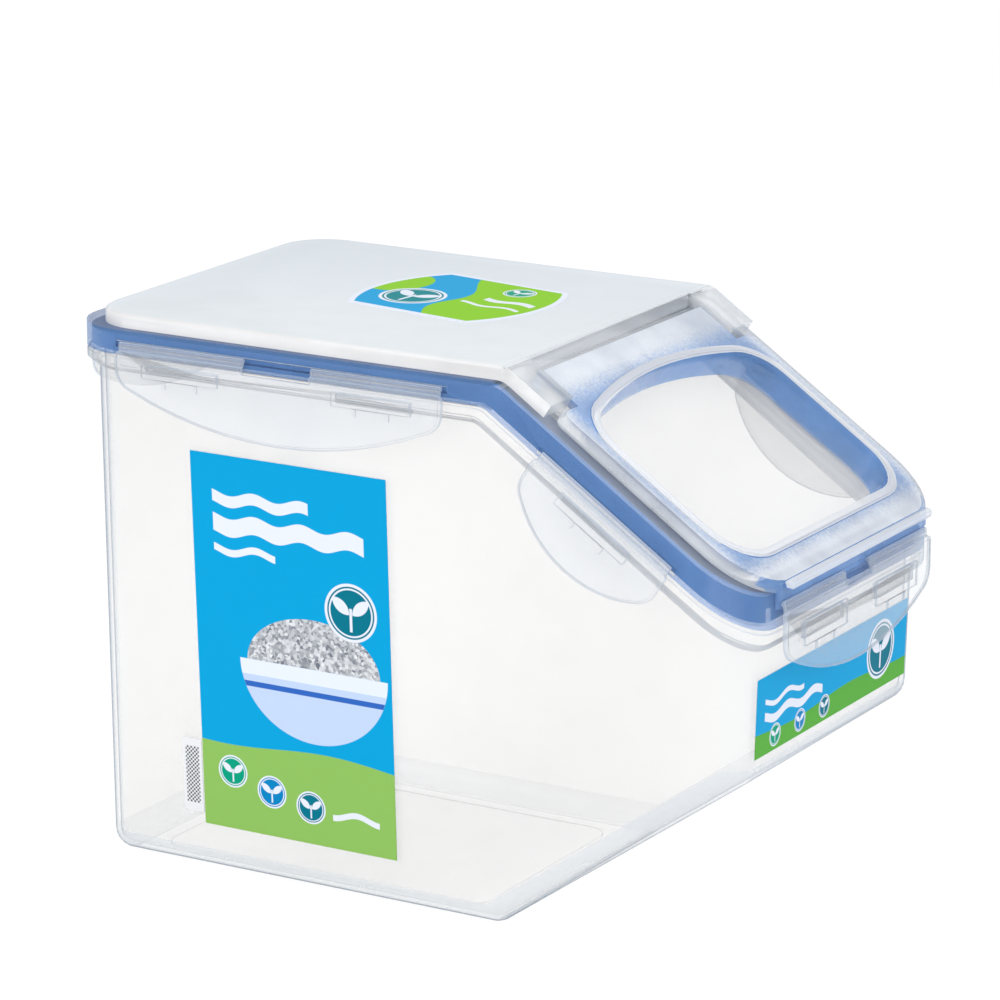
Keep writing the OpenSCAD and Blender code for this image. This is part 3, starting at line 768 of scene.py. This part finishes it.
# A white bowl of grain: a heap in a bowl with a pale band and a blue stripe under its rim.
bowl_middle = (8, -4)
bowl_radius = 30
heap_radius = 27
band_foot = -9.5
stripe_level = -13.0
stripe_half_width = 1.0
dark_grain = (0.10, 0.12, 0.16, 1)
pale_grain = (0.80, 0.82, 0.85, 1)
china = (0.52, 0.64, 0.86)
pale_china = (0.75, 0.81, 0.92)
stripe_blue = (0.03, 0.13, 0.50)
place = tree.nodes.new("ShaderNodeTexCoord")
grains = tree.nodes.new("ShaderNodeTexVoronoi")
grains.inputs["Scale"].default_value = 900
grain_colour = tree.nodes.new("ShaderNodeValToRGB")
grain_colour.color_ramp.elements[0].color = dark_grain
grain_colour.color_ramp.elements[1].color = pale_grain
tree.links.new(place.outputs["Object"], grains.inputs["Vector"])
tree.links.new(grains.outputs["Color"], grain_colour.inputs["Fac"])
heap = disc(tree, across, up, bowl_middle, heap_radius, 1.5)
print_colour = ink(tree, print_colour, heap, grain_colour.outputs[0])
below_rim = calc(tree, "SUBTRACT", bowl_middle[1], up)
bowl = calc(tree, "MINIMUM", disc(tree, across, up, bowl_middle, bowl_radius, 1.1), below_rim)
print_colour = ink(tree, print_colour, bowl, china)
band = calc(tree, "MINIMUM", bowl, calc(tree, "SUBTRACT", up, band_foot))
print_colour = ink(tree, print_colour, band, pale_china)
off_stripe = calc(tree, "ABSOLUTE", calc(tree, "SUBTRACT", up, stripe_level))
stripe = calc(tree, "MINIMUM", bowl, calc(tree, "SUBTRACT", stripe_half_width, off_stripe))
print_colour = ink(tree, print_colour, stripe, stripe_blue)

print_colour = leaf_seal(tree, print_colour, across, up, (24, 19), 10.5, teal)
for middle, field in (((-27, -47), pine), ((-11, -52), navy), ((5, -55), teal)):
    print_colour = leaf_seal(tree, print_colour, across, up, middle, 6, field)
print_colour = white_waves(tree, print_colour, across, up, ((14, 33, -56, 2.2),))
stick_on("side_label", film, shade, tree, print_colour)

# The front label: a wide strip of the same printed film, stuck across the container's front wall below
# the front lock, with white waves, a row of small leaf seals and one large seal.
grass = (0.10, 0.40, 0.05)
film, tree, shade = new_film("front_film", 0.4)
across, up = print_plane(tree, (0, 0, 0.0885), ("Y", "Z"))
field_edge = under_wave(tree, across, up, level=-6, height=1.0, length=80, start=0.6)
print_colour = ink(tree, cyan, field_edge, grass)
front_strokes = ((-50, -22, 4.0, 1.8), (-50, -8, -1.2, 3.0))
print_colour = white_waves(tree, print_colour, across, up, front_strokes)
for left, field in ((-42, pine), (-24, navy), (-6, teal)):
    print_colour = leaf_seal(tree, print_colour, across, up, (left, -8.5), 4, field)
print_colour = leaf_seal(tree, print_colour, across, up, (36, 0.5), 10.5, teal)
stick_on("front_label", film, shade, tree, print_colour)

# The top label: printed film with round ends and a white border, stuck a little askew on the raised top.
# A wavy line parts its cyan end from its bright green one.
bright_green = (0.25, 0.58, 0.012)
deep_teal = (0.0, 0.23, 0.26)
top_turn = -8
print_half_width = 26.8
label_half_length = 35.5
end_radius = 49.0
white_border = 2.2
film, tree, shade = new_film("top_film", 0.4)
across, up = print_plane(tree, (-0.02464, 0.0083, 0), ("X", "Y"), top_turn)
border = calc(tree, "SUBTRACT", print_half_width, calc(tree, "ABSOLUTE", up))
for side in (-1, 1):
    end_middle = (side * (end_radius - label_half_length), 0)
    end = disc(tree, across, up, end_middle, end_radius - white_border)
    border = calc(tree, "MINIMUM", border, end)
field_edge = under_wave(tree, up, across, level=-1, height=3.5, length=45, start=0.8, lean=-0.25)
field = ink(tree, bright_green, field_edge, cyan)
field = ink(tree, field, disc(tree, across, up, (-31, 6), 11, 0.8), bright_green)
print_colour = ink(tree, white, border, field)
top_strokes = ((9, 30, 4, 3.4), (4, 30, -4.5, 2.0))
print_colour = white_waves(tree, print_colour, across, up, top_strokes)
print_colour = leaf_seal(tree, print_colour, across, up, (-14, -8), 12, deep_teal)
print_colour = leaf_seal(tree, print_colour, across, up, (13, 18), 6, pine)
stick_on("top_label", film, shade, tree, print_colour)

# The code label: a small sticker of white film beside the side label's foot, printed with fine dark dots
# that stand for a code and say nothing.
paper = (0.78, 0.79, 0.82)
dark_ink = (0.08, 0.08, 0.09)
dot_pitch = 4.2
code_half_height = 10.5
code_half_width = 2.8
film, tree, shade = new_film("code_film", 0.5)
across, up = print_plane(tree, (-0.09154, 0, 0.03496), ("X", "Z"))
rows = calc(tree, "SINE", calc(tree, "MULTIPLY", up, dot_pitch))
columns = calc(tree, "SINE", calc(tree, "MULTIPLY", across, dot_pitch))
dots = calc(tree, "SUBTRACT", calc(tree, "MULTIPLY", rows, columns), 0.05)
within_height = calc(tree, "SUBTRACT", code_half_height, calc(tree, "ABSOLUTE", up))
within_width = calc(tree, "SUBTRACT", code_half_width, calc(tree, "ABSOLUTE", across))
within = calc(tree, "MINIMUM", within_height, within_width)
print_colour = ink(tree, paper, calc(tree, "MINIMUM", dots, within), dark_ink)
stick_on("code_label", film, shade, tree, print_colour)
